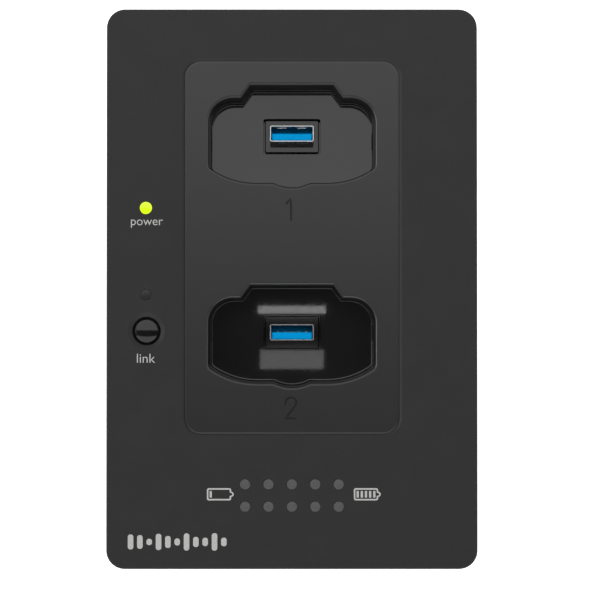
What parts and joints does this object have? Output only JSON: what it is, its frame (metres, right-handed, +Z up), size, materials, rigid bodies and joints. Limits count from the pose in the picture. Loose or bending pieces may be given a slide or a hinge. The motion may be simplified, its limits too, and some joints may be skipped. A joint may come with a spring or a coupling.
{
  "type": "bodypack transmitter charging station",
  "caption": "Flat desktop charging station with deep shaped bays for wireless bodypack transmitters, each over an upright USB plug, with a link button and rows of battery lamps.",
  "frame": {"origin": "on the supporting surface, below the middle of the body's outline", "axes": "+Z up out of the face, +Y towards the rear wall with the sockets, +X to the right of a person who stands in front"},
  "size_m": [0.1, 0.151, 0.0362],
  "materials": {
    "housing_black": "fine matte texture",
    "panel_satin": "satin",
    "bay_gloss": "gloss",
    "carrier_black": "satin",
    "plug_steel": "bright nickel plate",
    "tongue_blue": "satin",
    "contact_gold": "gold plate",
    "lamp_lit": "lit, diffusing",
    "lamp_smoked": "smoked",
    "lamp_frosted": "smoked, frosted",
    "button_gloss": "gloss",
    "board_green": "solder mask",
    "lamp_chip": "moulded",
    "switch_case": "moulded",
    "moulding_black": "moulded",
    "ethernet_lens": "clear tinted",
    "shield_tin": "tin plate",
    "chip_epoxy": "moulded epoxy",
    "can_aluminium": "satin",
    "ribbon_film": "laminated film",
    "socket_ivory": "moulded",
    "screw_black": "black oxide",
    "screw_steel": "zinc plate",
    "insert_brass": "turned",
    "foot_rubber": "moulded",
    "label_grey": "satin film"
  },
  "bodies": {
    "housing": {"top_housing": "housing_black", "base_housing": "housing_black", "dock_panel": "panel_satin", "lower_bay_liner": "bay_gloss", "upper_bay_liner": "bay_gloss", "lower_plug_carrier": "carrier_black", "upper_plug_carrier": "carrier_black", "lower_plug_shell": "plug_steel", "upper_plug_shell": "plug_steel", "lower_plug_tongue": "tongue_blue", "upper_plug_tongue": "tongue_blue", "lower_plug_contacts": "contact_gold", "upper_plug_contacts": "contact_gold", "ethernet_contacts": "contact_gold", "power_jack_pin": "contact_gold", "power_lamp": "lamp_lit", "link_lamp": "lamp_smoked", "battery_lamps_bay_1": "lamp_frosted", "battery_lamps_bay_2": "lamp_frosted", "main_board": "board_green", "lamp_board": "board_green", "lower_dock_board": "board_green", "upper_dock_board": "board_green", "lamp_chips": "lamp_chip", "switch_body": "switch_case", "ethernet_insert": "moulding_black", "power_jack_body": "moulding_black", "lower_dock_header": "moulding_black", "upper_dock_header": "moulding_black", "ethernet_transformer": "moulding_black", "ethernet_lamps": "ethernet_lens", "ethernet_shield": "shield_tin", "power_jack_spring": "shield_tin", "main_chips": "chip_epoxy", "power_inductors": "chip_epoxy", "capacitors": "can_aluminium", "ribbon_cable": "ribbon_film", "ribbon_sockets": "socket_ivory", "housing_screws": "screw_black", "board_screws": "screw_steel", "lamp_board_screws": "screw_steel", "liner_screws": "screw_steel", "dock_board_screws": "screw_steel", "threaded_inserts": "insert_brass", "foot_front_left": "foot_rubber", "foot_front_right": "foot_rubber", "foot_rear_left": "foot_rubber", "foot_rear_right": "foot_rubber", "rating_label": "label_grey"},
    "link_button": {"link_button": "button_gloss", "switch_plunger": "moulding_black"}
  },
  "joints": [
    {"name": "link_button_press", "type": "slide", "parent": "housing", "child": "link_button", "axis": [0, 0, -1], "range_m": [0, 0.0005], "stiffness_N_per_m": 1500, "springref_m": -0.0004}
  ]
}
